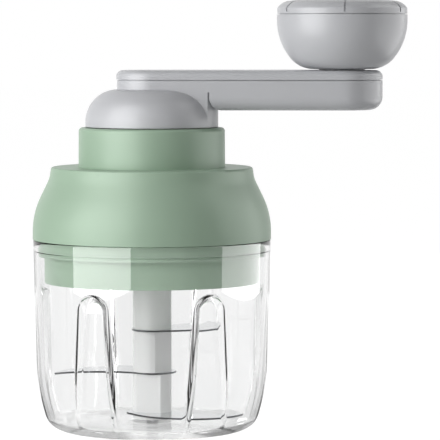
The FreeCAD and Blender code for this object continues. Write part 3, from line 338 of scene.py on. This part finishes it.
# Cup: one clear shell, with six arch-topped flutes pressed in from outside.
cup = {
    "rimR": 0.0404,
    "rimZ": 0.0648,
    "rimBore": 0.0389,
    "rimRound": 0.0005,
    "stepZ": 0.061,  # the ledge that shows as a line round the rim
    "stepIn": 0.00012,
    "hold": 0.00012,  # rows this near the ledge keep its shading crisp
    "bellyR": 0.0397,
    "bellyZ": 0.026,
    "footR": 0.0292,
    "cornerR": 0.008,
    "wall": 0.0024,
    "innerFootR": 0.0312,
    "innerCornerR": 0.003,
    "floorZ": 0.003,
    "bossR": 0.00325,
    "bossZ": 0.0035,
    "bossFillet": 0.0003,
    "bossChamfer": 0.0001,
    "pinHoleR": 0.00202,
    "pinSeatZ": 0.0012,
    "fluteCount": 6,
    "fluteX": 0.0376,  # from the axis to the flute's floor
    "fluteHalf": 0.0044,
    "fluteFlare": 0.0029,
    "fluteDrop": 0.0175,
    "fluteTurn": 0.8,
    "fluteGrow": 0.00057,  # how much wider the flute is on the inside of the wall
    "curlZ": 0.020,
    "curlR": 0.054,
    "edgeSoft": 0.00105,
    "edgeRound": 0.14,
    "edgeSpread": 2.1,  # degrees either side of the flute's edge that hold its fine columns
    "leastEdge": 3.5,
    "columns": 84,
    "rowsOutside": ((0.040, 9), (0.0495, 32)),  # heights and steps, finest round the flute's arch
    "rowsInside": ((0.0515, 8), (0.040, 34)),
    "rimRows": 6,
    "bellyRows": 9,
    "weld": 0.000004,
}


def bellyArcs(top, foot, corner):
    # centre and radius of the big arc from the widest point top, and the angle where it ends
    width, height = top[0] - foot[0], top[1] - foot[1]
    big = (width**2 + height**2 - 2 * height * corner) / (2 * (width - corner))
    centre = (top[0] - big, top[1])
    turn = math.degrees(math.atan2(foot[1] + corner - top[1], foot[0] - centre[0]))
    return centre, turn


def drawOutside(bm):
    # the outer profile, from the middle of the foot to the rim; returns its end
    c = cup
    centre, turn = bellyArcs((c["bellyR"], c["bellyZ"]), (c["footR"], 0), c["cornerR"])
    pen = drawLine(bm, bm.verts.new((0, 0, 0)), c["footR"], 0, 4)
    pen = drawArc(bm, pen, (c["footR"], c["cornerR"]), 90 + turn, 16)
    pen = drawArc(bm, pen, centre, -turn, 14)
    lean = (c["rimR"] - c["bellyR"]) / (c["rimZ"] - c["bellyZ"])
    for z, steps in (*c["rowsOutside"], (c["rimZ"] - c["rimRound"], c["rimRows"])):
        pen = drawLine(bm, pen, c["bellyR"] + lean * (z - c["bellyZ"]), z, steps)
    inward = pen.co.x - c["rimRound"]
    return drawArc(bm, pen, (inward, c["rimZ"] - c["rimRound"]), 90, 4)


def drawInside(bm, start):
    # the inner profile, from the rim's top over the ledge, wall, floor and boss to the pin's seat
    c = cup
    foot = (c["innerFootR"], c["floorZ"])
    belly = c["bellyR"] - c["wall"]
    centre, turn = bellyArcs((belly, c["bellyZ"]), foot, c["innerCornerR"])
    pen = drawLine(bm, bm.verts.new(start), c["rimBore"] + c["rimRound"], c["rimZ"])
    pen = drawArc(bm, pen, (pen.co.x, c["rimZ"] - c["rimRound"]), 90, 4)
    pen = drawLine(bm, pen, c["rimBore"], c["stepZ"] + c["stepIn"] + c["hold"], 2)
    pen = drawLine(bm, pen, c["rimBore"], c["stepZ"] + c["stepIn"])
    pen = drawLine(bm, pen, c["rimBore"] - c["stepIn"], c["stepZ"])
    lean = (pen.co.x - belly) / (c["stepZ"] - c["bellyZ"])
    rows = ((c["stepZ"] - c["hold"], 1), *c["rowsInside"], (c["bellyZ"], c["bellyRows"]))
    for z, steps in rows:
        pen = drawLine(bm, pen, belly + lean * (z - c["bellyZ"]), z, steps)
    pen = drawArc(bm, pen, centre, turn, 14)
    pen = drawArc(bm, pen, (foot[0], foot[1] + c["innerCornerR"]), -90 - turn, 8)
    pen = drawLine(bm, pen, c["bossR"] + c["bossFillet"], c["floorZ"], 5)
    pen = drawArc(bm, pen, (pen.co.x, c["floorZ"] + c["bossFillet"]), -90, 3)
    pen = drawLine(bm, pen, c["bossR"], c["bossZ"] - c["bossChamfer"])
    pen = drawLine(bm, pen, c["bossR"] - c["bossChamfer"], c["bossZ"])
    pen = drawLine(bm, pen, c["pinHoleR"], c["bossZ"])
    pen = drawLine(bm, pen, c["pinHoleR"], c["pinSeatZ"])
    drawLine(bm, pen, 0, c["pinSeatZ"])


def slope(part):
    # the flute's side: a straight slope from 0 to 1 with its two ends rounded
    turn = cup["edgeRound"]
    if part < turn:
        return part**2 / (2 * turn * (1 - turn))
    if part > 1 - turn:
        return 1 - (1 - part) ** 2 / (2 * turn * (1 - turn))
    return (part - turn / 2) / (1 - turn)


def pressFlute(verts, grow, inset, narrowest):
    # gathers a sector's columns at the flute's edges, then presses the flute in; grow and inset
    # fit it to the inside of the wall, and the floor within narrowest stays as it is
    c = cup
    sector = math.pi / c["fluteCount"]
    spring = c["rimZ"] - c["fluteDrop"] - c["fluteHalf"]
    soft = c["edgeSoft"]
    spread = math.radians(c["edgeSpread"])
    least = math.radians(c["leastEdge"])
    inner, across = 0.2, 0.5  # the shares of the columns in the flute and across its edge
    for vert in verts:
        radius = math.hypot(vert.co.x, vert.co.y)
        z = vert.co.z
        if radius < 1e-6:
            continue  # on the axis
        half = c["fluteHalf"] + grow
        if z > spring:
            wide = math.sqrt(max(half**2 - (z - spring) ** 2, 0))
        else:
            wide = half + c["fluteFlare"] * (spring - z) / spring
        edge = max(math.asin(min(wide / max(radius, narrowest), 1)), least)
        turn = math.atan2(vert.co.y, vert.co.x)
        share = abs(turn) / sector
        if share < inner:
            angle = (edge - spread) * share / inner
        elif share < inner + across:
            angle = edge - spread + 2 * spread * (share - inner) / across
        else:
            rest = (share - inner - across) / (1 - inner - across)
            angle = edge + spread + (sector - edge - spread) * rest
        sideways = radius * math.sin(angle)
        if z > spring:
            inside = half - math.hypot(sideways, z - spring)
        else:
            inside = wide - sideways
        curl = 0
        if z < c["curlZ"]:
            bow = c["curlR"] - inset
            curl = bow - math.sqrt(bow**2 - (c["curlZ"] - z) ** 2)
        floor = (c["fluteX"] - inset - curl) / math.cos(angle)
        if floor < radius and radius > narrowest:
            part = slope(min(max((inside + soft) / (2 * soft), 0), 1))
            radius += (floor - radius) * part
        angle = math.copysign(angle, turn)
        vert.co = (radius * math.cos(angle), radius * math.sin(angle), z)


def turnSector(bm):
    # turns the loose edges of the profile through one flute's share; returns its vertices
    wire = [edge for edge in bm.edges if edge.is_wire]
    skin = list(dict.fromkeys(vert for edge in wire for vert in edge.verts))
    share = 2 * math.pi / cup["fluteCount"]
    middle = Matrix.Rotation(-share / 2, 3, "Z")
    bmesh.ops.rotate(bm, verts=skin, cent=(0, 0, 0), matrix=middle)
    before = set(bm.verts) - set(skin)
    bmesh.ops.spin(
        bm,
        geom=wire + skin,
        cent=(0, 0, 0),
        axis=(0, 0, 1),
        angle=share,
        steps=cup["columns"],
    )
    return [vert for vert in bm.verts if vert not in before]


def makeCup():
    bm = bmesh.new()
    top = drawOutside(bm).co.copy()
    pressFlute(turnSector(bm), 0, 0, cup["footR"])
    drawInside(bm, top)
    pressFlute(turnSector(bm), cup["fluteGrow"], cup["wall"], cup["innerFootR"])
    count = cup["fluteCount"]
    bmesh.ops.spin(
        bm,
        geom=bm.verts[:] + bm.edges[:] + bm.faces[:],
        cent=(0, 0, 0),
        axis=(0, 0, 1),
        angle=2 * math.pi * (count - 1) / count,
        steps=count - 1,
        use_duplicate=True,
    )
    slight = Matrix.Rotation(math.radians(cup["fluteTurn"]), 3, "Z")
    bmesh.ops.rotate(bm, verts=bm.verts, cent=(0, 0, 0), matrix=slight)
    bmesh.ops.remove_doubles(bm, verts=bm.verts, dist=cup["weld"])
    bmesh.ops.recalc_face_normals(bm, faces=bm.faces)
    loose = sum(not edge.is_manifold for edge in bm.edges)
    print("chopper: cup,", len(bm.faces), "faces, open edges", loose)
    keep(bm, "clearCup", "cup", cupPlastic, "cup")


makeCup()


# Stage: pale floor, white surroundings, soft lamps and two tall panels for the plastics to mirror.
stage = {
    "floorSize": 12.0,
    "floorDrop": 0.0002,
    "white": (0.8, 0.8, 0.8, 1),  # the floor as it lights the chopper
    "grey": (0.16, 0.16, 0.16, 1),  # what is left of it under its glow, to hold the shadow
    "seen": 0.95,  # its glow for the camera, gloss and glass
    "fill": 0.3,  # how much of the room's white lights the chopper
    "clear": (0.95, 0.95, 0.95, 1),  # the room straight through the cup
    "turns": 0.5,  # light with more turns than this counts as turned back
    "aimX": 0.01,
    "room": [  # how bright gloss sees the room, round from behind by way of the left
        (0.0, 1.0),
        (0.1, 1.0),
        (0.14, 0.12),
        (0.27, 0.12),
        (0.29, 0.3),
        (0.45, 0.3),
        (0.47, 0.8),
        (0.58, 0.8),
        (0.63, 0.08),
        (0.69, 0.08),
        (0.71, 0.3),
        (0.86, 0.3),
        (0.9, 1.0),
        (1.0, 1.0),
    ],
    "through": [  # the same for light that turned back inside the cup: darkest in front
        (0.0, 1.0),
        (0.17, 0.95),
        (0.24, 0.6),
        (0.37, 0.4),
        (0.41, 0.0),
        (0.59, 0.0),
        (0.63, 0.4),
        (0.76, 0.6),
        (0.83, 0.95),
        (1.0, 1.0),
    ],
}
view = {
    "lens": 238.9,
    "sensor": 36,
    "place": (0.02313, -0.99070, 0.13566),
    "tilt": 86.277,
}
lamps = {  # turn from the front in degrees, distance, height, size, strength, only mirrored
    "keyLamp": (-57, 0.6, 0.27, (0.55, 0.54), 4.35, False),
    "sideLamp": (105, 0.6, 0.27, (0.4, 0.54), 0.5, False),
    "leftPanel": (-45.6, 0.22, 0.223, (0.239, 0.398), 5.8, True),
    "rightPanel": (94.9, 0.22, 0.223, (0.231, 0.398), 3.8, True),
    "backLamp": (172, 0.8, 0.3, (0.6, 0.54), 2.0, False),
}


def roomLight(tree, way, rays):
    # the brightness of the room in a direction or at a place, by its turn about the upright axis,
    # for gloss, for light straight through the cup and for light that turned back inside it
    parts = tree.add("SeparateXYZ", {}, {0: way})
    turn = tree.maths("ARCTAN2", parts["X"], parts["Y"] * -1) / (2 * math.pi) + 0.5
    tones = []
    for name in ("room", "through"):
        stops = [(place, (level, level, level, 1)) for place, level in stage[name]]
        tones.append(tree.add("ValToRGB", {"stops": stops}, {0: turn}))
    turned = tree.maths("GREATER_THAN", rays["Glossy Depth"], stage["turns"])
    clear = tree.mix(turned, stage["clear"], tones[1])
    return tree.mix(rays["Is Transmission Ray"], tones[0], clear)


def makeFloor():
    bm = bmesh.new()
    bmesh.ops.create_grid(bm, x_segments=1, y_segments=1, size=stage["floorSize"] / 2)
    bmesh.ops.translate(bm, verts=bm.verts, vec=(0, 0, -stage["floorDrop"]))
    mesh = bpy.data.meshes.new("paleFloor")
    bm.to_mesh(mesh)
    bm.free()
    floor = bpy.data.objects.new("paleFloor", mesh)
    scene.collection.objects.link(floor)
    material = bpy.data.materials.new("paleFloor")
    tree = Tree(material)
    rays = tree.add("LightPath")
    bent = tree.clamp(rays["Is Glossy Ray"] + rays["Is Transmission Ray"])
    direct = 1 - tree.clamp(rays["Diffuse Depth"])
    seen = tree.clamp(rays["Is Camera Ray"] + bent) * direct
    room = roomLight(tree, tree.add("TexCoord")["Object"], rays)
    colour = tree.mix(bent, (1, 1, 1, 1), room)
    board = tree.add("BsdfDiffuse", {}, {"Color": tree.mix(seen, stage["white"], stage["grey"])})
    glow = tree.add("Emission", {}, {"Color": colour, "Strength": seen * stage["seen"]})
    both = tree.add("AddShader", {}, {0: board, 1: glow})
    tree.add("OutputMaterial", {}, {"Surface": both})
    mesh.materials.append(material)


def makeWorld():
    # white for the camera, dimmer as fill light, and the room's tones for glass and gloss
    world = bpy.data.worlds.new("whiteRoom")
    scene.world = world
    tree = Tree(world)
    rays = tree.add("LightPath")
    bent = tree.clamp(rays["Is Glossy Ray"] + rays["Is Transmission Ray"])
    direct = 1 - tree.clamp(rays["Diffuse Depth"])
    seen = tree.clamp(rays["Is Camera Ray"] + bent) * direct
    room = roomLight(tree, tree.add("TexCoord")["Generated"], rays)
    colour = tree.mix(bent * direct, (1, 1, 1, 1), room)
    strength = seen * (1 - stage["fill"]) + stage["fill"]
    back = tree.add("Background", {}, {"Color": colour, "Strength": strength})
    tree.add("OutputWorld", {}, {"Surface": back})


def addLamp(name, turn, far, height, size, glow, mirrored):
    # a tall soft lamp that faces the chopper, either lighting it or only mirrored in it
    lamp = bpy.data.lights.new(name, "AREA")
    lamp.shape = "RECTANGLE"
    lamp.size, lamp.size_y = size
    lamp.energy = glow * size[0] * size[1] * math.pi
    spot = bpy.data.objects.new(name, lamp)
    scene.collection.objects.link(spot)
    angle = math.radians(turn)
    spot.location = (far * math.sin(angle), -far * math.cos(angle), height)
    aim = Vector((stage["aimX"], 0, height)) - spot.location
    spot.rotation_euler = aim.to_track_quat("-Z", "Y").to_euler()
    spot.visible_camera = False
    spot.visible_diffuse = not mirrored
    spot.visible_glossy = mirrored
    spot.visible_transmission = False


def makeCamera():
    camera = bpy.data.objects.new("camera", bpy.data.cameras.new("camera"))
    camera.data.lens = view["lens"]
    camera.data.sensor_width = view["sensor"]
    camera.location = view["place"]
    camera.rotation_euler = (math.radians(view["tilt"]), 0, 0)
    scene.collection.objects.link(camera)
    scene.camera = camera


makeFloor()
makeWorld()
makeCamera()
for name, values in lamps.items():
    addLamp(name, *values)
print("chopper: stage ready")
